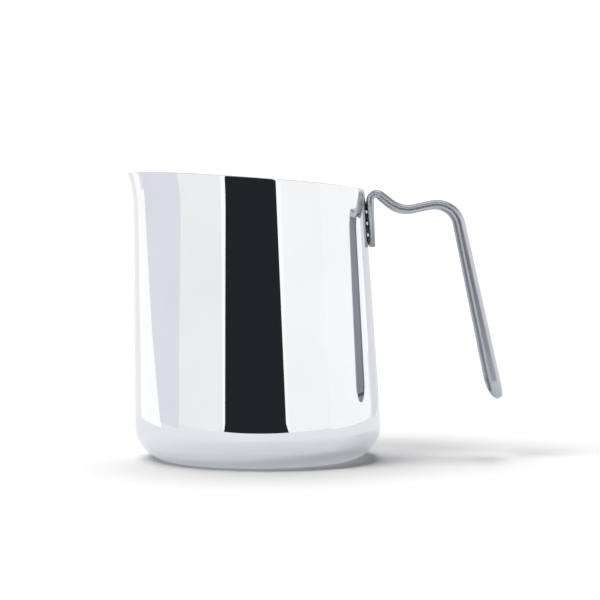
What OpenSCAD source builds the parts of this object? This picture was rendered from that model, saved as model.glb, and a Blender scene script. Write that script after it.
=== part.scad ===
// Wax pouring pot: a one-piece drawn steel jug with a sharp spout, a handle
// pressed from one strip of steel into a channel, and the spot welds under it.
// Origin: middle of the flat base. +Z up, +X towards the handle, -X the spout.

/* [Pot body] */
// Outer diameter at the widest level, just above the base curve
body_d = 90; // [70:1:120]
// Height of the rim above the table, on the pot's axis
rim_h = 101.1; // [75:0.1:140]
// Thickness of the steel sheet
wall_t = 0.9; // [0.6:0.1:1.6]
// Radius of the curve between the flat base and the wall
base_curve_r = 12; // [8:0.5:20]
// Slope of the rim, down from the spout to the handle, in degrees
rim_slope = 4.1; // [0:0.1:8]

/* [Mouth] */
// How much smaller the mouth's mean radius is than the body's
mouth_shrink = 5.3; // [0:0.1:10]
// How far the mouth's middle lies towards the spout
mouth_shift = 2.7; // [0:0.1:5]
// How much further the mouth reaches lengthwise than sideways, halved
mouth_oval = 2.5; // [0:0.1:4]
// How much the spout end is drawn to a point
mouth_point = 0.6; // [0:0.1:1]

/* [Pouring lip] */
// How far the lip leans out past the front line of the spout
lip_out = 2.25; // [0:0.05:4]
// Height of the flared part of the lip, down from its tip
lip_flare_h = 23; // [10:0.5:35]

/* [Handle strip] */
// Thickness of the strip that the handle is pressed from
strip_t = 1.2; // [0.8:0.1:1.6]
// Outer radius of the channel's two long corners
corner_r = 1.7; // [1.6:0.1:2]
// Radius that the sides' free edges are rounded off to, for the fingers
edge_r = 0.9; // [0.3:0.1:0.9]
// Width of the handle at its foot
foot_w = 10; // [8:0.5:14]
// Width of the handle at the crest
crest_w = 15; // [12:0.5:20]
// Width of the grip just above its rounded end
grip_w = 20; // [14:0.5:26]
// Depth of the channel's sides at the foot
foot_depth = 2; // [1.8:0.1:2.6]
// Depth of the sides over the hump
hump_depth = 2.7; // [2.4:0.1:3]
// Depth of the sides along the bridge, from the dip to the crest
bridge_depth = 3.1; // [2.6:0.1:4]
// Depth of the sides at the lower end of the grip
grip_depth = 4.2; // [3:0.1:6]

/* [Handle side view] */
// Gap between the wall and the foot, filled by the spot welds
foot_gap = 0.4; // [0.4:0.1:1.5]
// Distance from the rim down to the cut end of the foot
foot_drop = 20.9; // [20:0.1:40]
// Height above the rim where the foot's line and the slope's line would meet
hump_rise = 4.3; // [3:0.1:6]
// Distance of the thumb dip's corner out from the rim
dip_out = 13.5; // [11.3:0.1:22]
// Distance of the thumb dip's corner below the rim
dip_drop = 6.2; // [5:0.1:9]
// Distance of the crest's corner out from the rim
crest_out = 34.1; // [32:0.1:50]
// Distance of the crest's corner below the rim
crest_drop = 1.8; // [-4:0.1:5]
// Height of the grip, from the crest's corner to its rounded end
grip_h = 74.5; // [50:0.1:79]
// Lean of the grip away from the pot, in degrees
grip_lean = 12.5; // [0:0.1:20]

/* [Handle bends] */
// Radius of the hump, on the handle's smooth outer face
hump_bend_r = 3.7; // [3.4:0.1:4.4]
// Radius of the thumb dip
dip_bend_r = 9; // [4:0.5:10]
// Radius of the crest
crest_bend_r = 10.5; // [6:0.5:12]
// Length over which the grip's end narrows to a round tongue
tongue_l = 8; // [5:0.5:10]

/* [Spot welds] */
// Number of spot welds in the row up the foot
spot_count = 4; // [2:1:4]
// Diameter of each spot weld
spot_d = 3.4; // [2:0.1:3.4]
// Distance from the foot's cut end up to the first spot weld's middle
spot_above_end = 2.3; // [1.8:0.1:3]

/* [Hidden] */

steel = "gainsboro";
strip_steel = "silver";
weld_steel = "slategray";

// Clearance at each end of a spot weld
weld_clear = 0.05;
body_r = body_d / 2;
$fn = 48;

// ---- Pot section -------------------------------------------------------
// A level section is given by its normal direction a: reach(a) is the
// distance from the axis to the tangent line whose outward normal points at
// a. Reducing reach() by the sheet's thickness gives an exactly parallel
// inner wall.
curve_top_z = base_curve_r;
// How much of the mouth's shape a level has, from 0 above the curve to 1
function grown(z) = max(0, (z - curve_top_z) / (rim_h - curve_top_z));
// How far the lip leans out at a level: hardly at first, then ever faster up
// to its tip
lip_curl = 4;
lip_tip_z = rim_h + body_r * tan(rim_slope);
function flare(z) = lip_out * pow(max(0, 1 - (lip_tip_z - z) / lip_flare_h), lip_curl);
// The flare is strongest on the spout's front line and fades round the lip
lip_sharpness = 6;
function front(a) = (1 - cos(a)) / 2;

function reach(a, z) = body_r + grown(z) * (-mouth_shrink - mouth_shift * cos(a)
    + mouth_oval * cos(2 * a) - mouth_point * cos(3 * a))
    + flare(z) * pow(front(a), lip_sharpness);
// Rate of change of reach() per radian
function reach_rate(a, z) = grown(z) * (mouth_shift * sin(a)
    - 2 * mouth_oval * sin(2 * a) + 3 * mouth_point * sin(3 * a))
    + flare(z) * lip_sharpness * pow(front(a), lip_sharpness - 1) * sin(a) / 2;
// Point of the section, drawn in from the outer wall by `inset`
function section_point(a, z, inset) =
    let (h = reach(a, z) - inset, rate = reach_rate(a, z))
    [h * cos(a) - rate * sin(a), h * sin(a) + rate * cos(a)];
// Rim height above a point of the wall: the rim is cut along a sloping plane
function rim_z(x) = rim_h - x * tan(rim_slope);

// ---- Pot body ----------------------------------------------------------
around = 72;
curve_steps = 8;
wall_steps = 12;
// How much closer together the wall's levels are at the rim than below
level_crowding = 1.6;

// Points of the wall at one normal direction, from base to rim, `inset`
// inside the outer surface. The wall's levels crowd together below the rim,
// where the lip curls.
function curve_ring(i, inset) =
    let (t = 90 * i / curve_steps, r = base_curve_r - inset, z = base_curve_r - r * cos(t))
    [for (k = [0:around - 1]) let (a = 360 * k / around)
        let (p = section_point(a, 0, base_curve_r - r * sin(t)))
        [p[0], p[1], z]];
function wall_ring(j, inset) =
    [for (k = [0:around - 1])
        let (a = 360 * k / around, share = 1 - pow(1 - j / wall_steps, level_crowding))
        let (x0 = section_point(a, rim_h, inset)[0], x1 = section_point(a, rim_z(x0), inset)[0])
        let (z = base_curve_r + share * (rim_z(x1) - base_curve_r))
        let (p = section_point(a, z, inset))
        [p[0], p[1], z]];
function shell_side(inset) = concat(
    [for (i = [0:curve_steps]) curve_ring(i, inset)],
    [for (j = [1:wall_steps]) wall_ring(j, inset)]);

module pot_body() {
    outer = shell_side(0);
    inner = shell_side(wall_t);
    rings = len(outer);
    outer_points = [for (ring = outer) each ring];
    inner_points = [for (ring = inner) each ring];
    n = rings * around;
    function at(side, ring, k) = side * n + ring * around + k % around;
    outer_faces = [for (r = [0:rings - 2], k = [0:around - 1])
        [at(0, r, k), at(0, r + 1, k), at(0, r + 1, k + 1), at(0, r, k + 1)]];
    inner_faces = [for (r = [0:rings - 2], k = [0:around - 1])
        [at(1, r, k), at(1, r, k + 1), at(1, r + 1, k + 1), at(1, r + 1, k)]];
    rim_faces = [for (k = [0:around - 1])
        [at(0, rings - 1, k), at(1, rings - 1, k), at(1, rings - 1, k + 1), at(0, rings - 1, k + 1)]];
    base_face = [for (k = [0:around - 1]) at(0, 0, k)];
    floor_face = [for (k = [around - 1:-1:0]) at(1, 0, k)];
    color(steel)
        polyhedron(concat(outer_points, inner_points),
            concat(outer_faces, inner_faces, rim_faces, [base_face, floor_face]));
}

// ---- Handle ------------------------------------------------------------
// Everything on the handle's side hangs from the rim's corner there
function handle_rim_x(z) = reach(0, z);
rim_corner_z = rim_z(handle_rim_x(rim_z(body_r)));
rim_corner_x = handle_rim_x(rim_corner_z);
// The wall leans in towards the rim: its lean, measured on the handle's side
wall_lean = atan((body_r - rim_corner_x) / (rim_corner_z - curve_top_z));
// X of a line that runs parallel to the wall, `off` away from it
function beside_wall(z, off) = handle_rim_x(z) + off / cos(wall_lean);

// The smooth outer face of the handle, seen from the side: corners [x, z]
// from the foot to the grip's end. The channel is open on the other side.
foot_z = rim_corner_z - foot_drop;
hump_z = rim_corner_z + hump_rise;
crest = [rim_corner_x + crest_out, rim_corner_z - crest_drop];
corners = [
    [beside_wall(foot_z, foot_gap), foot_z],
    [beside_wall(hump_z, foot_gap), hump_z],
    [rim_corner_x + dip_out, rim_corner_z - dip_drop],
    crest,
    [crest[0] + grip_h * tan(grip_lean), crest[1] - grip_h]];
bend_r = [0, hump_bend_r, dip_bend_r, crest_bend_r, 0];
last = len(corners) - 1;
// How far along the line of corners a corner is, from the foot
function corner_at(i) = i == 0 ? 0 : corner_at(i - 1) + norm(corners[i] - corners[i - 1]);
// Width and depth change evenly along the handle, between these corners
width_at = [[0, foot_w], [corner_at(1), foot_w], [corner_at(3), crest_w], [corner_at(last), grip_w]];
depth_at = [[0, foot_depth], [corner_at(1), hump_depth], [corner_at(2), bridge_depth],
    [corner_at(3), bridge_depth], [corner_at(last), grip_depth]];

function unit(v) = v / norm(v);
function turned(v, a) = [v[0] * cos(a) - v[1] * sin(a), v[0] * sin(a) + v[1] * cos(a)];
// Direction from corner i to the next
function run_dir(i) = unit(corners[i + 1] - corners[i]);
// Angle that the handle turns through at corner i, positive to the left
function turn(i) = let (a = run_dir(i - 1), b = run_dir(i)) atan2(a[0] * b[1] - a[1] * b[0], a * b);

// Stations along the handle: [place, direction, how far along the corners].
// A bend is a fine row of stations on its arc.
bend_step = 8;
function bend_stations(i) =
    let (dir = run_dir(i - 1), side = sign(turn(i)), steps = ceil(abs(turn(i)) / bend_step))
    let (cut = bend_r[i] * tan(abs(turn(i)) / 2))
    let (centre = corners[i] - dir * cut + side * bend_r[i] * turned(dir, 90))
    [for (k = [0:steps]) let (d = turned(dir, turn(i) * k / steps))
        [centre - side * bend_r[i] * turned(d, 90), d, corner_at(i) + cut * (2 * k / steps - 1)]];
// Distances above the grip's end where the tongue has a station, dense at
// the end, as shares of the tongue's length
tongue_steps = 11;
tongue_end = 0.03;
function tongue_share(k) = 1 - (1 - tongue_end) * sin(90 * k / tongue_steps);
tongue_stations = [for (k = [0:tongue_steps]) let (back = tongue_share(k) * tongue_l)
    [corners[last] - back * run_dir(last - 1), run_dir(last - 1), corner_at(last) - back]];
stations = concat(
    [[corners[0], run_dir(0), 0]],
    [for (i = [1:last - 1]) each bend_stations(i)],
    tongue_stations);

// How much of its full size a round end of length l has, at distance d from
// its tip: 0 at the very tip, 1 before the rounding
function round_end(d, l) = sqrt(1 - pow(1 - min(1, max(0, d) / l), 2));

// Radius of the rounding on the outer face at the tip
tip_r = 1.6;
// The channel ends this far above the tip, with a short ramp
channel_stop = 2.6;
ramp_l = 1.2;
// What is left of the channel past the ramp: a shallow mark
mark_depth = 0.3;
inner_fillet = 0.2;
arc_points = 5;
inner_points = 3;
edge_points = 4;

// Section at a station: [sideways, inward] points, once round. `inward` is
// measured from the smooth outer face.
function section(st) =
    let (d = corner_at(last) - st[2], half = lookup(st[2], width_at) / 2 * round_end(d, tongue_l))
    let (face = tip_r * (1 - round_end(d, tip_r)))
    let (edge = tip_r + (lookup(st[2], depth_at) - tip_r) * round_end(d, tongue_l))
    // The rounding and the sheet thin out with the tip's size
    let (tall = edge - face)
    let (r = min(corner_r, 0.7 * tall, 0.7 * half), t = min(strip_t, 0.4 * tall, 0.4 * half))
    let (open = min(1, max(0, (d - channel_stop) / ramp_l)))
    let (bed = edge - mark_depth - open * (edge - mark_depth - face - t))
    let (inner_r = min(max(0, r - t) + inner_fillet, (edge - bed) / 2))
    let (round_r = min(edge_r, 0.8 * t, 0.4 * tall), brow = edge - (edge - bed) / 4)
    concat(
        [for (k = [0:arc_points]) let (a = 90 * k / arc_points)
            [-half + r - r * cos(a), face + r - r * sin(a)]],
        [for (k = [arc_points:-1:0]) let (a = 90 * k / arc_points)
            [half - r + r * cos(a), face + r - r * sin(a)]],
        [for (k = [0:edge_points]) let (a = 90 * k / edge_points)
            [half - round_r + round_r * cos(a), edge - round_r + round_r * sin(a)]],
        [[half - t, brow]],
        [for (k = [0:inner_points]) let (a = 90 * k / inner_points)
            [half - t - inner_r + inner_r * cos(a), bed + inner_r - inner_r * sin(a)]],
        [for (k = [inner_points:-1:0]) let (a = 90 * k / inner_points)
            [-half + t + inner_r - inner_r * cos(a), bed + inner_r - inner_r * sin(a)]],
        [[-half + t, brow]],
        [for (k = [edge_points:-1:0]) let (a = 90 * k / edge_points)
            [-half + round_r - round_r * cos(a), edge - round_r + round_r * sin(a)]]);

// Places a section's point in space
function placed(st, p) = let (xz = st[0] - p[1] * turned(st[1], 90)) [xz[0], p[0], xz[1]];

module handle_strip() {
    rows = [for (st = stations) [for (p = section(st)) placed(st, p)]];
    n = len(rows);
    m = len(rows[0]);
    function at(i, k) = i * m + k % m;
    skin = [for (i = [0:n - 2], k = [0:m - 1])
        [at(i, k), at(i, k + 1), at(i + 1, k + 1), at(i + 1, k)]];
    foot_cut = [for (k = [m - 1:-1:0]) at(0, k)];
    tip = [for (k = [0:m - 1]) at(n - 1, k)];
    color(strip_steel) polyhedron([for (row = rows) each row], concat(skin, [foot_cut, tip]));
}

// ---- Spot welds --------------------------------------------------------
// They are spread over the straight part of the foot, up to this far from
// where the hump begins
spot_to_hump = 0.2;
straight_l = corner_at(1) - bend_r[1] * tan(abs(turn(1)) / 2);
spot_pitch = (straight_l - spot_to_hump - spot_d / 2 - spot_above_end) / (spot_count - 1);
module spot_welds() {
    color(weld_steel) for (i = [0:spot_count - 1]) {
        z = foot_z + (spot_above_end + i * spot_pitch) * cos(wall_lean);
        translate([beside_wall(z, weld_clear), 0, z]) rotate([0, 90 - wall_lean, 0])
            cylinder(h = foot_gap - 2 * weld_clear, d = spot_d);
    }
}

pot_body();
handle_strip();
spot_welds();
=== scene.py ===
# %% [markdown]
# # A polished steel pouring pot
# This lesson builds the finish and the final meshes of a small steel pot for pouring
# wax. The pot is one sheet of steel, drawn into a jug with a pointed spout. Its handle
# is a single strip, pressed into a channel and spot welded to the wall by its foot.
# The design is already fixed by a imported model, which is loaded first. Each piece here
# takes the place of one of its plain solids and keeps to the same sizes.

# %% Load the fixed design
import math

import bmesh
import bpy
from mathutils import Matrix, Vector


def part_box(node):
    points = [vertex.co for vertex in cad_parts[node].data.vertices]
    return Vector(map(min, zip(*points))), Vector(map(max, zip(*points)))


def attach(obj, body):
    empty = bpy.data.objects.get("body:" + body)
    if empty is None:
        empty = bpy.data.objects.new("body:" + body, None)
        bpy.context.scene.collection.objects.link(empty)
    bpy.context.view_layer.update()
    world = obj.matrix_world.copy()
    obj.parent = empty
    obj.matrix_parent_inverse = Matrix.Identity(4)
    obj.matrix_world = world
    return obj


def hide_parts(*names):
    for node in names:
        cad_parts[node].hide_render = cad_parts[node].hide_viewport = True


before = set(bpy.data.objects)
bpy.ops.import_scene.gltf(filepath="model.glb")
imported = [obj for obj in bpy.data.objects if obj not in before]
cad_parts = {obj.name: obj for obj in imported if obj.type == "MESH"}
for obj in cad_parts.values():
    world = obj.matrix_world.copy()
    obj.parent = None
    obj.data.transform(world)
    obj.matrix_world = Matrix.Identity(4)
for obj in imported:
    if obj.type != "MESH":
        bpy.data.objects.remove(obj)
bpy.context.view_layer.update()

print("nodes:", sorted(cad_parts))

# %% [markdown]
# ## Sizes
# All lengths are in metres. The round lower body, the lip and the rim are read from the
# fixed design, so the visible pot can't drift away from it. The numbers that say how the
# mouth is drawn are the same ones that the design uses.

# %% Sizes of the pot
MM = 0.001
low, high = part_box("pot_body")
BODY_R = high.y
LIP_X = low.x
LIP_Z = high.z
WALL_T = 0.9 * MM
BASE_CURVE_R = 12 * MM
RIM_SLOPE = math.radians(4.1)
MOUTH_SHRINK = 5.3 * MM
MOUTH_SHIFT = 2.7 * MM
MOUTH_OVAL = 2.5 * MM
MOUTH_POINT = 0.6 * MM
LIP_OUT = 2.25 * MM
LIP_FLARE_H = 23 * MM
LIP_CURL = 4
LIP_SHARPNESS = 6
RIM_H = LIP_Z + LIP_X * math.tan(RIM_SLOPE)
LIP_TIP_Z = RIM_H + BODY_R * math.tan(RIM_SLOPE)
print(f"body radius {BODY_R / MM:.2f} mm, rim {RIM_H / MM:.2f} mm above the table on the axis")

# %% [markdown]
# ## The shape of the mouth
# A round pot has the same radius in every direction. This one is drawn: the higher the
# level, the more it turns into an egg with its point at the spout. The handy way to write
# such a section is by its *reach*: how far the wall's tangent line is from the axis, for
# each direction that the wall can face. Taking the sheet's thickness off the reach gives
# an inner wall that is exactly parallel, and the wall's direction is known everywhere,
# which is what a mirror finish shows.

# %% Section of the pot at any height
def grown(z):
    """How much of the mouth's shape a level has: 0 at the base curve, 1 at the rim."""
    return max(0.0, (z - BASE_CURVE_R) / (RIM_H - BASE_CURVE_R))


def flare(z):
    """How far the lip leans out at a level: hardly at first, then ever faster."""
    return LIP_OUT * max(0.0, 1 - (LIP_TIP_Z - z) / LIP_FLARE_H) ** LIP_CURL


def section_point(facing, z, inset):
    """The wall's point that faces one direction, `inset` inside the outer surface."""
    front = (1 - math.cos(facing)) / 2
    drawn = (-MOUTH_SHRINK - MOUTH_SHIFT * math.cos(facing)
             + MOUTH_OVAL * math.cos(2 * facing) - MOUTH_POINT * math.cos(3 * facing))
    drawn_rate = (MOUTH_SHIFT * math.sin(facing)
                  - 2 * MOUTH_OVAL * math.sin(2 * facing) + 3 * MOUTH_POINT * math.sin(3 * facing))
    lip = flare(z) * front ** LIP_SHARPNESS
    lip_rate = flare(z) * LIP_SHARPNESS * front ** (LIP_SHARPNESS - 1) * math.sin(facing) / 2
    reach = BODY_R - inset + grown(z) * drawn + lip
    rate = grown(z) * drawn_rate + lip_rate
    return (reach * math.cos(facing) - rate * math.sin(facing),
            reach * math.sin(facing) + rate * math.cos(facing))


def rim_z(x):
    """Height of the sloping rim above a point of the wall."""
    return RIM_H - x * math.tan(RIM_SLOPE)


front_line = section_point(math.pi, RIM_H / 2, 0)
print("the spout's front line at half height:", [round(c / MM, 2) for c in front_line])

# %% [markdown]
# ## Small helpers for building meshes
# A piece is drawn the way a pen works: a tip moves in straight runs and in arcs, and
# everything it leaves behind is mesh. `extrude_vert_only` and `extrude_edge_only` make
# the straight runs, and `spin` makes the arcs.

# %% Helpers
def pick(found, kind):
    """Keeps one kind of element from what a bmesh operator returns."""
    return [g for g in found if isinstance(g, kind)]


def finish_mesh(bm, name, materials, body="root"):
    """Turns a bmesh into an object that rides on a body of the design."""
    mesh = bpy.data.meshes.new(name)
    bm.to_mesh(mesh)
    bm.free()
    piece = bpy.data.objects.new(name, mesh)
    bpy.context.scene.collection.objects.link(piece)
    for material in materials:
        mesh.materials.append(material)
    for face in mesh.polygons:
        face.use_smooth = True
    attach(piece, body)
    print(f"{name}: {len(mesh.polygons)} faces")
    return piece


# %% [markdown]
# ## Finishes
# Polished steel is nearly a mirror, but never a perfect one: the polishing wheel leaves
# lines too fine to see one by one, and wiping leaves broad patches that are a touch duller.
# Both effects are used by several finishes, so each is a node group that is built once. A
# group only puts out masks and heights. The shader itself stays in the material.

# %% Group: fine lines left by a polishing wheel
def new_group(name, inputs, outputs):
    """An empty node group with number sockets, and its input and output nodes."""
    group = bpy.data.node_groups.new(name, "ShaderNodeTree")
    for label, value in inputs:
        socket = group.interface.new_socket(label, in_out="INPUT", socket_type="NodeSocketFloat")
        socket.default_value = value
    for label in outputs:
        group.interface.new_socket(label, in_out="OUTPUT", socket_type="NodeSocketFloat")
    return group, group.nodes.new("NodeGroupInput"), group.nodes.new("NodeGroupOutput")


def maths(tree, operation, first, second):
    """A Math node whose inputs are numbers or other nodes' outputs."""
    node = tree.nodes.new("ShaderNodeMath")
    node.operation = operation
    for socket, value in zip(node.inputs, (first, second)):
        if isinstance(value, (int, float)):
            socket.default_value = value
        else:
            tree.links.new(value, socket)
    return node.outputs[0]


def noise(tree, vector, scale, detail=2.0):
    """A noise texture on a vector, with its scale a number or another node's output."""
    node = tree.nodes.new("ShaderNodeTexNoise")
    node.inputs["Detail"].default_value = detail
    tree.links.new(vector, node.inputs["Vector"])
    if isinstance(scale, (int, float)):
        node.inputs["Scale"].default_value = scale
    else:
        tree.links.new(scale, node.inputs["Scale"])
    return node.outputs["Fac"]


def build_polish_lines():
    """Lines that run level round the piece: noise that is stretched sideways."""
    tree, given, result = new_group(
        "polish_lines", [("Lines per metre", 900.0), ("Stretch", 0.02)], ["Height"])
    place = tree.nodes.new("ShaderNodeTexCoord").outputs["Object"]
    split = tree.nodes.new("ShaderNodeSeparateXYZ")
    tree.links.new(place, split.inputs[0])
    join = tree.nodes.new("ShaderNodeCombineXYZ")
    for axis in ("X", "Y"):
        squeezed = maths(tree, "MULTIPLY", split.outputs[axis], given.outputs["Stretch"])
        tree.links.new(squeezed, join.inputs[axis])
    tree.links.new(split.outputs["Z"], join.inputs["Z"])
    height = noise(tree, join.outputs[0], given.outputs["Lines per metre"], 3.0)
    tree.links.new(height, result.inputs["Height"])
    return tree


def build_wiped_patches():
    """Broad soft patches, from 0 to 1, where a cloth has left the steel a little duller."""
    tree, given, result = new_group(
        "wiped_patches", [("Size", 25.0), ("Cover", 0.5)], ["Mask"])
    place = tree.nodes.new("ShaderNodeTexCoord").outputs["Object"]
    patches = noise(tree, place, given.outputs["Size"], 4.0)
    above = maths(tree, "SUBTRACT", patches, maths(tree, "SUBTRACT", 1.0, given.outputs["Cover"]))
    mask = tree.nodes.new("ShaderNodeClamp")
    tree.links.new(maths(tree, "MULTIPLY", above, 4.0), mask.inputs[0])
    tree.links.new(mask.outputs[0], result.inputs["Mask"])
    return tree


POLISH_LINES = build_polish_lines()
WIPED_PATCHES = build_wiped_patches()
print("node groups:", [g.name for g in bpy.data.node_groups])

# %% Finishes made from the groups
PATCH_COVER = 0.55
PATCH_SHADE = 0.965
MICRON = 0.001 * MM


def use_group(tree, group, **values):
    """Places a node group in a material, with the values that this finish needs."""
    node = tree.nodes.new("ShaderNodeGroup")
    node.node_tree = group
    for label, value in values.items():
        node.inputs[label.replace("_", " ")].default_value = value
    return node


def steel(name, colour, roughness, duller, lines_per_metre, stretch, line_depth, patch_size):
    """Bare steel: a tinted metal whose roughness and relief vary over the surface."""
    material = bpy.data.materials.new(name)
    material.use_nodes = True
    tree = material.node_tree
    shader = tree.nodes["Principled BSDF"]
    shader.inputs["Metallic"].default_value = 1.0
    patches = use_group(tree, WIPED_PATCHES, Size=patch_size, Cover=PATCH_COVER)
    lines = use_group(tree, POLISH_LINES, Lines_per_metre=lines_per_metre, Stretch=stretch)
    tint = tree.nodes.new("ShaderNodeMix")
    tint.data_type = "RGBA"
    tint.inputs["A"].default_value = (*colour, 1)
    tint.inputs["B"].default_value = (*[c * PATCH_SHADE for c in colour], 1)
    tree.links.new(patches.outputs["Mask"], tint.inputs["Factor"])
    tree.links.new(tint.outputs["Result"], shader.inputs["Base Color"])
    rough = tree.nodes.new("ShaderNodeMapRange")
    rough.inputs["To Min"].default_value = roughness
    rough.inputs["To Max"].default_value = roughness + duller
    tree.links.new(patches.outputs["Mask"], rough.inputs["Value"])
    tree.links.new(rough.outputs["Result"], shader.inputs["Roughness"])
    bump = tree.nodes.new("ShaderNodeBump")
    bump.inputs["Strength"].default_value = 1.0
    bump.inputs["Distance"].default_value = line_depth
    tree.links.new(lines.outputs["Height"], bump.inputs["Height"])
    tree.links.new(bump.outputs["Normal"], shader.inputs["Normal"])
    return material


mirror_steel = steel("mirror_steel", colour=(0.88, 0.885, 0.895), roughness=0.015, duller=0.012,
                     lines_per_metre=2600, stretch=0.03,
                     line_depth=0.04 * MICRON, patch_size=30)
inside_steel = steel("inside_steel", colour=(0.80, 0.805, 0.815), roughness=0.16, duller=0.05,
                     lines_per_metre=2200, stretch=0.02,
                     line_depth=1.5 * MICRON, patch_size=25)
base_steel = steel("base_steel", colour=(0.80, 0.805, 0.815), roughness=0.14, duller=0.05,
                   lines_per_metre=1500, stretch=1.0,
                   line_depth=1.0 * MICRON, patch_size=40)
strip_steel = steel("strip_steel", colour=(0.54, 0.56, 0.60), roughness=0.31, duller=0.05,
                    lines_per_metre=1500, stretch=1.0,
                    line_depth=0.15 * MICRON, patch_size=120)
pressed_steel = steel("pressed_steel", colour=(0.38, 0.395, 0.43), roughness=0.38, duller=0.06,
                      lines_per_metre=1500, stretch=1.0,
                      line_depth=0.15 * MICRON, patch_size=120)
weld_steel = steel("weld_steel", colour=(0.33, 0.33, 0.345), roughness=0.32, duller=0.12,
                   lines_per_metre=2500, stretch=1.0,
                   line_depth=10.0 * MICRON, patch_size=300)
print("finishes:", [m.name for m in bpy.data.materials])

# %% [markdown]
# ## The pot
# A steel pot starts as a flat disc. It is drawn into a plain round cup first, and only then
# is the mouth pressed into its shape. The mesh is made in the same two steps. First half of
# the cup's cross-section is drawn as one line with the sheet's real thickness, and `spin`
# turns it round the axis. Then every point of the wall is moved to its place in the drawn
# section. A vertex modifier or a lattice could press the mouth too, but a formula keeps the
# wall's thickness exact, and a mirror shows every unevenness.

# %% Draw half of the round cup's cross-section
AROUND = 180
CURVE_STEPS = 18
WALL_STEPS = 30
LEVEL_CROWDING = 1.6
RIM_ROUND = 0.2 * MM
RIM_STEPS = 4
FLOOR_STEPS = 6
SAME_PLACE = 0.005 * MM
UNDERSIDE = 0.05 * MM
INSIDE_FINISH, BASE_FINISH = 1, 2


def run_to(bm, tip, place):
    """Draws a straight line from the tip to a place."""
    made = pick(bmesh.ops.extrude_vert_indiv(bm, verts=[tip])["verts"], bmesh.types.BMVert)[0]
    made.co = place
    return made


def arc_round(bm, tip, centre, angle, steps):
    """Draws an arc from the tip round a centre, in the plane of the cross-section."""
    swung = bmesh.ops.spin(bm, geom=[tip], cent=centre, axis=(0, -1, 0), angle=angle, steps=steps)
    return pick(swung["geom_last"], bmesh.types.BMVert)[0]


def draw_cup_line(bm):
    """From the middle of the underside, up the outside, over the rim and down the inside."""
    curve_centre = Vector((BODY_R - BASE_CURVE_R, 0, BASE_CURVE_R))
    rim_outer = Vector((BODY_R - RIM_ROUND, 0, RIM_H - RIM_ROUND))
    rim_inner = Vector((BODY_R - WALL_T + RIM_ROUND, 0, rim_outer.z))
    tip = bm.verts.new((0, 0, 0))
    tip = run_to(bm, tip, (curve_centre.x, 0, 0))
    tip = arc_round(bm, tip, curve_centre, math.pi / 2, CURVE_STEPS)
    tip = run_to(bm, tip, (BODY_R, 0, rim_outer.z))
    tip = arc_round(bm, tip, rim_outer, math.pi / 2, RIM_STEPS)
    tip = run_to(bm, tip, (rim_inner.x, 0, RIM_H))
    tip = arc_round(bm, tip, rim_inner, math.pi / 2, RIM_STEPS)
    tip = run_to(bm, tip, (BODY_R - WALL_T, 0, BASE_CURVE_R))
    tip = arc_round(bm, tip, curve_centre, -math.pi / 2, CURVE_STEPS)
    run_to(bm, tip, (0, 0, WALL_T))


cup = bmesh.new()
draw_cup_line(cup)
long_lines = [e for e in cup.edges if e.calc_length() > BASE_CURVE_R]
walls = [e for e in long_lines if abs(e.verts[0].co.x - e.verts[1].co.x) < MM]
floors = [e for e in long_lines if e not in walls]
bmesh.ops.subdivide_edges(cup, edges=walls, cuts=WALL_STEPS - 1)
bmesh.ops.subdivide_edges(cup, edges=floors, cuts=FLOOR_STEPS - 1)
print("points in the cross-section:", len(cup.verts))

# %% Spin it into a round cup, then press the mouth into shape
bmesh.ops.spin(cup, geom=cup.verts[:] + cup.edges[:], cent=(0, 0, 0), axis=(0, 0, 1),
               angle=2 * math.pi, steps=AROUND, use_merge=True)
bmesh.ops.remove_doubles(cup, verts=cup.verts, dist=SAME_PLACE)


def press_mouth(co):
    """Where a point of the round cup goes when the mouth is drawn."""
    radius = math.hypot(co.x, co.y)
    if co.z <= BASE_CURVE_R:
        return co
    facing = math.atan2(co.y, co.x)
    straight_top = RIM_H - RIM_ROUND
    left = max(0.0, (straight_top - co.z) / (straight_top - BASE_CURVE_R))
    share = 1 - left ** LEVEL_CROWDING
    over = max(0.0, co.z - straight_top)
    inset = BODY_R - radius
    x = section_point(facing, RIM_H, inset)[0]
    top = rim_z(section_point(facing, rim_z(x), inset)[0]) - RIM_ROUND
    z = BASE_CURVE_R + share * (top - BASE_CURVE_R)
    x, y = section_point(facing, z, inset)
    return Vector((x, y, z + over))


for vert in cup.verts:
    vert.co = press_mouth(vert.co.copy())
bmesh.ops.recalc_face_normals(cup, faces=cup.faces)
for face in cup.faces:
    middle = face.calc_center_median()
    inwards = face.normal.dot(Vector((middle.x, middle.y, middle.z - BASE_CURVE_R))) < 0
    under = middle.z < UNDERSIDE
    face.material_index = INSIDE_FINISH if inwards else BASE_FINISH if under else 0
pot = finish_mesh(cup, "pot_shell", [mirror_steel, inside_steel, base_steel])
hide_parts("pot_body")
seen = [Vector(c) for c in pot.bound_box]
seen_length = max(c.x for c in seen) - min(c.x for c in seen)
print("pot length", round(seen_length / MM, 2), "design", round((high.x - low.x) / MM, 2))

# %% [markdown]
# ## The handle
# The handle is pressed from one strip of steel. Its section is a channel: a smooth outer
# face, two rounded sides and an open back. Such a piece is made here as a press does it: one
# section is carried along the handle's line, and at every step it takes the width and depth
# that the handle has there. The line is a row of corners with a bend radius for each. The
# corners hang from the rim's corner, so they are tied to the wall that the foot is welded to.

# %% Line of the handle's outer face, seen from the side
handle_x = section_point(0, rim_z(BODY_R), 0)[0]
RIM_CORNER = Vector((handle_x, rim_z(handle_x)))
WALL_LEAN = math.atan2(BODY_R - RIM_CORNER.x, RIM_CORNER.y - BASE_CURVE_R)


def beside_wall(z, off):
    """X of a line parallel to the wall on the handle's side, `off` away from it."""
    return section_point(0, z, 0)[0] + off / math.cos(WALL_LEAN)


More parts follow.
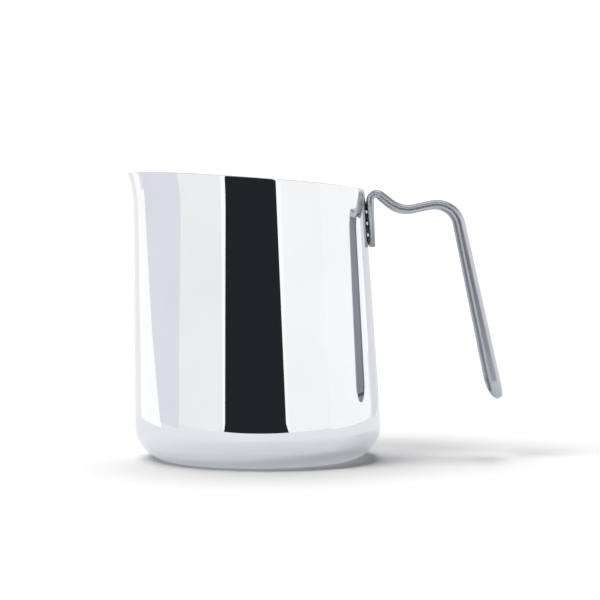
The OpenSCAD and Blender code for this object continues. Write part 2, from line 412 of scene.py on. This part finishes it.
FOOT_GAP = 0.4 * MM
FOOT_Z = RIM_CORNER.y - 20.9 * MM
HUMP_Z = RIM_CORNER.y + 4.3 * MM
DIP = RIM_CORNER + Vector((13.5, -6.2)) * MM
CREST = RIM_CORNER + Vector((34.1, -1.8)) * MM
GRIP_H = 74.5 * MM
GRIP_LEAN = math.radians(12.5)
corners = [Vector((beside_wall(FOOT_Z, FOOT_GAP), FOOT_Z)),
           Vector((beside_wall(HUMP_Z, FOOT_GAP), HUMP_Z)),
           DIP,
           CREST,
           CREST + Vector((GRIP_H * math.tan(GRIP_LEAN), -GRIP_H))]
BENDS = [0, 3.7 * MM, 9 * MM, 10.5 * MM, 0]
far_along = [0.0]
for one, other in zip(corners, corners[1:]):
    far_along.append(far_along[-1] + (other - one).length)
END = far_along[-1]
print("the handle ends at", [round(c / MM, 1) for c in corners[-1]])

# %% Width and depth along the handle
WIDTHS = [(0, 10 * MM), (far_along[1], 10 * MM), (far_along[3], 15 * MM), (END, 20 * MM)]
DEPTHS = [(0, 2 * MM), (far_along[1], 2.7 * MM), (far_along[2], 3.1 * MM),
          (far_along[3], 3.1 * MM), (END, 4.2 * MM)]
STRIP_T = 1.2 * MM
CORNER_R = 1.7 * MM
EDGE_R = 0.9 * MM
TONGUE_L = 8 * MM
TIP_R = 1.6 * MM
CHANNEL_STOP = 2.6 * MM
RAMP_L = 1.2 * MM
MARK_DEPTH = 0.3 * MM
INNER_FILLET = 0.2 * MM
CORNER_STEPS = 10
EDGE_STEPS = 7
INNER_STEPS = 5
FIRST_INSIDE = 1 + (CORNER_STEPS + 1) + (EDGE_STEPS + 1)
# Where the tongue gets thin, the radii and the sheet shrink to these shares of its size.
CORNER_SHARE = 0.7
SHEET_SHARE = 0.4
EDGE_SHARE = 0.8
# The flat outer face stops this many corner radii from the side.
FLAT_STOPS = 1.15


def read_table(table, along):
    """A size that changes evenly between the places in a table."""
    for (start, first), (stop, second) in zip(table, table[1:]):
        if along <= stop:
            return first + (second - first) * max(0.0, along - start) / (stop - start)
    return table[-1][1]


def round_end(distance, length):
    """How much of its size a rounded end has: 0 at its tip, 1 where the rounding begins."""
    return math.sqrt(1 - (1 - min(1.0, max(0.0, distance) / length)) ** 2)


def eased(share):
    """Makes an even change from 0 to 1 start and stop softly."""
    return share * share * (3 - 2 * share)


def arc(centre, radius, start, stop, steps):
    """Points of an arc in the section, with its angles in degrees."""
    angles = [math.radians(start + (stop - start) * k / steps) for k in range(steps + 1)]
    return [Vector((centre[0] + radius * math.cos(a), centre[1] + radius * math.sin(a)))
            for a in angles]


def channel_section(along):
    """Points once round the section, as (sideways, inwards from the outer face)."""
    left = END - along
    half = read_table(WIDTHS, along) / 2 * round_end(left, TONGUE_L)
    face = TIP_R * (1 - round_end(left, TIP_R))
    edge = TIP_R + (read_table(DEPTHS, along) - TIP_R) * round_end(left, TONGUE_L)
    tall = edge - face
    corner = min(CORNER_R, CORNER_SHARE * tall, CORNER_SHARE * half)
    sheet = min(STRIP_T, SHEET_SHARE * tall, SHEET_SHARE * half)
    opened = min(1.0, max(0.0, (left - CHANNEL_STOP) / RAMP_L))
    opened = eased(opened)
    bed = edge - MARK_DEPTH - opened * (tall - MARK_DEPTH - sheet)
    inner = min(max(0.0, corner - sheet) + INNER_FILLET, (edge - bed) / 2)
    edge_r = min(EDGE_R, EDGE_SHARE * sheet, SHEET_SHARE * tall)
    brow = edge - (edge - bed) / 4
    right = [Vector((half - corner * FLAT_STOPS, face))]
    right += arc((half - corner, face + corner), corner, -90, 0, CORNER_STEPS)
    right += arc((half - edge_r, edge - edge_r), edge_r, 0, 90, EDGE_STEPS)
    right += [Vector((half - sheet, brow))]
    right += arc((half - sheet - inner, bed + inner), inner, 0, -90, INNER_STEPS)
    return right + [Vector((-p.x, p.y)) for p in reversed(right)]


print("points in the section:", len(channel_section(0)))

# %% Stations along the handle
DEGREES_A_STEP = 5
TONGUE_STEPS = 20
TIP_REACH = 0.97


def run_dir(i):
    """Direction of the straight run from corner i to the next."""
    return (corners[i + 1] - corners[i]).normalized()


def rotated(v, angle):
    """A flat vector turned by an angle."""
    cos, sin = math.cos(angle), math.sin(angle)
    return Vector((v.x * cos - v.y * sin, v.x * sin + v.y * cos))


def bend_stations(i):
    """A row of (place, direction, distance along) on the arc that rounds corner i."""
    before, after = run_dir(i - 1), run_dir(i)
    angle = math.atan2(before.x * after.y - before.y * after.x, before.dot(after))
    side = math.copysign(1, angle)
    cut = BENDS[i] * math.tan(abs(angle) / 2)
    centre = corners[i] - before * cut + rotated(before, math.pi / 2) * side * BENDS[i]
    steps = math.ceil(math.degrees(abs(angle)) / DEGREES_A_STEP)
    row = []
    for k in range(steps + 1):
        turned = rotated(before, angle * k / steps)
        place = centre - rotated(turned, math.pi / 2) * side * BENDS[i]
        row.append((place, turned, far_along[i] + cut * (2 * k / steps - 1)))
    return row


stations = [(corners[0], run_dir(0), 0.0)]
for i in range(1, len(corners) - 1):
    stations += bend_stations(i)
for k in range(TONGUE_STEPS + 1):
    back = TONGUE_L * (1 - TIP_REACH * math.sin(math.pi / 2 * k / TONGUE_STEPS))
    stations.append((corners[-1] - run_dir(-2) * back, run_dir(-2), END - back))
print("stations:", len(stations))

# %% Press the strip
def stand_up(point, place, direction):
    """Turns a point of the section into a place in space."""
    spot = place - rotated(direction, math.pi / 2) * point.y
    return Vector((spot.x, point.x, spot.y))


def press_strip(name, outside, inside):
    """Carries the section from station to station, one extrusion at a time. The inside of
    the channel, which polishing hardly reaches, has a finish of its own."""
    bm = bmesh.new()
    rank = bm.verts.layers.int.new("rank")
    place, direction, along = stations[0]
    loop = [bm.verts.new(stand_up(p, place, direction)) for p in channel_section(along)]
    ring = [bm.edges.new((a, b)) for a, b in zip(loop, loop[1:] + loop[:1])]
    foot_ring = ring
    for k, vert in enumerate(loop):
        vert[rank] = k
    for place, direction, along in stations[1:]:
        made = bmesh.ops.extrude_edge_only(bm, edges=ring)["geom"]
        ring = pick(made, bmesh.types.BMEdge)
        section = channel_section(along)
        for vert in pick(made, bmesh.types.BMVert):
            vert.co = stand_up(section[vert[rank]], place, direction)
    for end in (foot_ring, ring):
        bmesh.ops.contextual_create(bm, geom=end)
    bmesh.ops.recalc_face_normals(bm, faces=bm.faces)
    inner = range(FIRST_INSIDE, len(loop) - FIRST_INSIDE)
    for face in bm.faces:
        face.material_index = 1 if all(vert[rank] in inner for vert in face.verts) else 0
    return finish_mesh(bm, name, [outside, inside])


strip = press_strip("handle_channel", strip_steel, pressed_steel)
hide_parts("handle_strip")

# %% [markdown]
# ## The spot welds
# The foot stands a little off the wall, on a row of four spot welds. A spot weld is a small
# pad of metal that was squeezed while it was soft, so its rim bulges a little. Each one is a
# disc whose side is drawn out in steps.

# %% Squeeze the welds
SPOT_R = 1.7 * MM
SPOT_COUNT = 4
SPOT_ABOVE_END = 2.3 * MM
SPOT_TO_HUMP = 0.2 * MM
WELD_CLEAR = 0.05 * MM
hump_turn = run_dir(0).angle(run_dir(1))
straight_l = far_along[1] - BENDS[1] * math.tan(hump_turn / 2)
SPOT_PITCH = (straight_l - SPOT_TO_HUMP - SPOT_R - SPOT_ABOVE_END) / (SPOT_COUNT - 1)
SPOT_SIDES = 40
SPOT_STEPS = 6
SPOT_BULGE = 0.12 * MM

spots = bmesh.new()
for number in range(SPOT_COUNT):
    z = FOOT_Z + (SPOT_ABOVE_END + number * SPOT_PITCH) * math.cos(WALL_LEAN)
    out = Vector((math.cos(WALL_LEAN), 0, math.sin(WALL_LEAN)))
    tip = Vector((beside_wall(z, WELD_CLEAR), 0, z))
    turned = out.to_track_quat("Z", "Y").to_matrix().to_4x4()
    radius = SPOT_R - SPOT_BULGE
    made = bmesh.ops.create_circle(spots, segments=SPOT_SIDES, radius=radius, cap_ends=False,
                                   matrix=Matrix.Translation(tip) @ turned)
    first = list({e for v in made["verts"] for e in v.link_edges})
    ring, thick = first, FOOT_GAP - 2 * WELD_CLEAR
    for k in range(1, SPOT_STEPS + 1):
        grown_r = SPOT_R - SPOT_BULGE * (1 - math.sin(math.pi * k / SPOT_STEPS))
        made = bmesh.ops.extrude_edge_only(spots, edges=ring)["geom"]
        ring = pick(made, bmesh.types.BMEdge)
        moved = pick(made, bmesh.types.BMVert)
        bmesh.ops.translate(spots, verts=moved, vec=out * thick / SPOT_STEPS)
        middle = tip + out * thick * k / SPOT_STEPS
        wider = grown_r / radius
        bmesh.ops.scale(spots, vec=(wider, wider, wider), verts=moved,
                        space=Matrix.Translation(-middle))
        radius = grown_r
    for end in (first, ring):
        bmesh.ops.contextual_create(spots, geom=end)
bmesh.ops.recalc_face_normals(spots, faces=spots.faces)
welds = finish_mesh(spots, "weld_spots", [weld_steel])
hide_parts("spot_welds")

# %% [markdown]
# ## The studio
# A mirror is made of what stands round it, so the studio does most of the work here. The
# pot stands on a pale table in white air. A black card, just behind the camera, draws the
# one dark band that tells the eye that this is polished steel, and curved cloths of
# slightly different greys give the wall its soft steps. The card and the cloths are hidden
# from the camera and from the table, and are seen only in the steel. Two soft lamps make
# the shadow on the table. What the steel throws onto the table from the air and the cloths
# is cut down, so that it doesn't wash the shadow out.

# %% Table and air
def straight_to_eye(tree):
    """1 for light that comes by way of the steel alone, less where it lights the table."""
    rays = tree.nodes.new("ShaderNodeLightPath")
    by_table = maths(tree, "MINIMUM", rays.outputs["Diffuse Depth"], 1.0)
    return maths(tree, "SUBTRACT", 1.0, maths(tree, "MULTIPLY", by_table, LOST_ON_TABLE))


def flat_material(name, colour):
    """A card or cloth that glows evenly, so that the steel shows it at one brightness."""
    material = bpy.data.materials.new(name)
    material.use_nodes = True
    tree = material.node_tree
    tree.nodes.clear()
    glow = tree.nodes.new("ShaderNodeEmission")
    glow.inputs["Color"].default_value = (*colour, 1)
    tree.links.new(straight_to_eye(tree), glow.inputs["Strength"])
    out = tree.nodes.new("ShaderNodeOutputMaterial")
    tree.links.new(glow.outputs[0], out.inputs["Surface"])
    return material


def build_table():
    """A wide white table. The steel sees it greyer and glowing a little, so that the base
    doesn't mirror the deepest of the pot's own shadow."""
    bm = bmesh.new()
    bmesh.ops.create_grid(bm, x_segments=1, y_segments=1, size=TABLE_HALF)
    mesh = bpy.data.meshes.new("table")
    bm.to_mesh(mesh)
    bm.free()
    table = bpy.data.objects.new("table", mesh)
    bpy.context.scene.collection.objects.link(table)
    paint = bpy.data.materials.new("table_white")
    paint.use_nodes = True
    shader = paint.node_tree.nodes["Principled BSDF"]
    shader.inputs["Roughness"].default_value = TABLE_ROUGHNESS
    shader.inputs["Specular IOR Level"].default_value = 0.0
    rays = paint.node_tree.nodes.new("ShaderNodeLightPath")
    tint = paint.node_tree.nodes.new("ShaderNodeMix")
    tint.data_type = "RGBA"
    tint.inputs["A"].default_value = TABLE_COLOUR
    tint.inputs["B"].default_value = TABLE_IN_STEEL
    paint.node_tree.links.new(rays.outputs["Is Glossy Ray"], tint.inputs["Factor"])
    paint.node_tree.links.new(tint.outputs["Result"], shader.inputs["Base Color"])
    shader.inputs["Emission Color"].default_value = TABLE_LIFT
    paint.node_tree.links.new(rays.outputs["Is Glossy Ray"], shader.inputs["Emission Strength"])
    mesh.materials.append(paint)
    return table


def build_air():
    """White at eye level, grey higher up, and a pale panel straight overhead that lights the
    inside of the pot. Loose light from it is kept lower, so that the table keeps shadows."""
    world = bpy.data.worlds.new("studio_air")
    bpy.context.scene.world = world
    world.use_nodes = True
    tree = world.node_tree
    background = tree.nodes["Background"]
    place = tree.nodes.new("ShaderNodeTexCoord").outputs["Generated"]
    split = tree.nodes.new("ShaderNodeSeparateXYZ")
    tree.links.new(place, split.inputs[0])
    ramp = tree.nodes.new("ShaderNodeValToRGB")
    for height, colour in AIR_COLOURS[1:-1]:
        ramp.color_ramp.elements.new(height)
    for stop, (height, colour) in zip(ramp.color_ramp.elements, AIR_COLOURS):
        stop.position = height
        stop.color = colour
    tree.links.new(split.outputs["Z"], ramp.inputs[0])
    tree.links.new(ramp.outputs["Color"], background.inputs["Color"])
    rays = tree.nodes.new("ShaderNodeLightPath")
    in_steel = maths(tree, "MULTIPLY", straight_to_eye(tree), AIR_IN_STEEL)
    on_table = maths(tree, "MULTIPLY", rays.outputs["Is Diffuse Ray"], AIR_ON_TABLE)
    tree.links.new(maths(tree, "ADD", in_steel, on_table), background.inputs["Strength"])


WHITE_AIR = (1, 1, 1, 1)
GREY_AIR = (0.22, 0.23, 0.25, 1)
AIR_COLOURS = [(0.4, WHITE_AIR), (0.78, GREY_AIR), (0.88, GREY_AIR), (0.92, WHITE_AIR)]
TABLE_HALF = 6
TABLE_ROUGHNESS = 0.9
TABLE_COLOUR = (0.92, 0.92, 0.925, 1)
TABLE_IN_STEEL = (0.46, 0.475, 0.495, 1)
TABLE_LIFT = (0.35, 0.362, 0.378, 1)
AIR_ON_TABLE = 0.05
AIR_IN_STEEL = 1.1
LOST_ON_TABLE = 0.9
build_table()
build_air()
bpy.context.scene.view_settings.view_transform = "Standard"
print("table and air ready")

# %% Card and cloths, seen only in the steel
CARD_COLOUR = (0.0165, 0.0205, 0.0255)


def hide_from_all_but_steel(thing):
    """Leaves a card or cloth to be seen by mirror reflections alone."""
    for ray in ("camera", "diffuse", "transmission", "volume_scatter", "shadow"):
        setattr(thing, "visible_" + ray, False)


def hang(bm, name, material):
    """Turns a bmesh into a card or cloth of the studio."""
    mesh = bpy.data.meshes.new(name)
    bm.to_mesh(mesh)
    bm.free()
    card = bpy.data.objects.new(name, mesh)
    bpy.context.scene.collection.objects.link(card)
    mesh.materials.append(material)
    hide_from_all_but_steel(card)
    return card


def hang_card(name, colour, corner_list):
    """A flat card through four corners, listed in order round it."""
    bm = bmesh.new()
    bmesh.ops.contextual_create(bm, geom=[bm.verts.new(c) for c in corner_list])
    return hang(bm, name, flat_material(name, colour))


def hang_cloth(name, start, stop, radius, height, colour):
    """A curved cloth round the pot. `start` and `stop` are the azimuths of its two upright
    edges, each as (at the table, at the top), in degrees from the handle's side towards
    the camera's."""
    bm = bmesh.new()
    rows = []
    for end, z in ((0, 0.0), (1, height)):
        step = (stop[end] - start[end]) / CLOTH_STEPS
        turns = [-math.radians(start[end] + step * k) for k in range(CLOTH_STEPS + 1)]
        spots = [Matrix.Rotation(turn, 3, "Z") @ Vector((radius, 0, z)) for turn in turns]
        rows.append([bm.verts.new(spot) for spot in spots])
    bottom, top = rows
    for k in range(CLOTH_STEPS):
        patch = [bottom[k], bottom[k + 1], top[k + 1], top[k]]
        bmesh.ops.contextual_create(bm, geom=patch)
    return hang(bm, name, flat_material(name, colour))


CLOTH_STEPS = 16
CARD_Y = -0.62
hang_card("black_card", CARD_COLOUR,
          [(-0.337, CARD_Y, 0), (0.337, CARD_Y, 0), (0.179, CARD_Y, 0.3), (-0.273, CARD_Y, 0.3)])
# Each cloth: name, start, stop, radius, height, colour.
CLOTHS = [
    ("pale_cloth", (119.5, 118), (170, 170), 0.60, 0.40, (0.94, 0.95, 0.96)),
    ("grey_cloth", (161.2, 147), (187.7, 221), 0.30, 0.25, (0.80, 0.83, 0.875)),
    ("white_cloth", (178.5, 216), (216, 217.5), 0.20, 0.15, (1.10, 1.10, 1.11)),
    ("left_cloth", (216, 217.5), (262, 262), 0.20, 0.15, (0.91, 0.915, 0.94)),
    ("right_cloth", (19, 27), (60, 70), 0.75, 0.40, (1.03, 1.035, 1.04)),
    ("far_right_cloth", (-39, -36), (20, 30), 0.45, 0.30, (1.055, 1.055, 1.06)),
    ("edge_cloth", (-92, -92), (-40, -40), 0.30, 0.25, (0.76, 0.78, 0.81)),
]
for cloth in CLOTHS:
    hang_cloth(*cloth)

# %% Two lamps
def sun_light(name, from_azimuth, elevation, softness, strength):
    """A far lamp: parallel light whose softness is the angle that the lamp fills."""
    data = bpy.data.lights.new(name, "SUN")
    data.angle = math.radians(softness)
    data.energy = strength
    lamp = bpy.data.objects.new(name, data)
    turn, rise = math.radians(from_azimuth), math.radians(elevation)
    towards = Vector((math.cos(turn) * math.cos(rise), math.sin(turn) * math.cos(rise),
                      math.sin(rise)))
    lamp.rotation_euler = towards.to_track_quat("Z", "Y").to_euler()
    bpy.context.scene.collection.objects.link(lamp)
    lamp.visible_glossy = False
    return lamp


sun_light("key", from_azimuth=210, elevation=58, softness=26, strength=1.5)
sun_light("overhead", from_azimuth=105, elevation=75, softness=36, strength=1.95)
print("key lamp from the spout's side and the front; a wide soft one nearly overhead")

# %% [markdown]
# ## The camera
# A long lens, level with the middle of the pot and a little to the handle's side, so that
# the whole side view is seen with almost no perspective.

# %% Camera
CAMERA_AWAY = 0.594
CAMERA_HEIGHT = 0.0716
CAMERA_ASIDE = 0.0154
CAMERA_TILT = 0.0230
SENSOR_WIDTH = 36
LENS_LENGTH = 96.9
lens = bpy.data.cameras.new("camera")
lens.sensor_width = SENSOR_WIDTH
lens.lens = LENS_LENGTH
camera = bpy.data.objects.new("camera", lens)
camera.location = (CAMERA_ASIDE, -CAMERA_AWAY, CAMERA_HEIGHT)
camera.rotation_euler = (math.pi / 2 - CAMERA_TILT, 0, 0)
bpy.context.scene.collection.objects.link(camera)
bpy.context.scene.camera = camera
print("camera", CAMERA_AWAY, "m in front of the pot, lens", LENS_LENGTH, "mm")
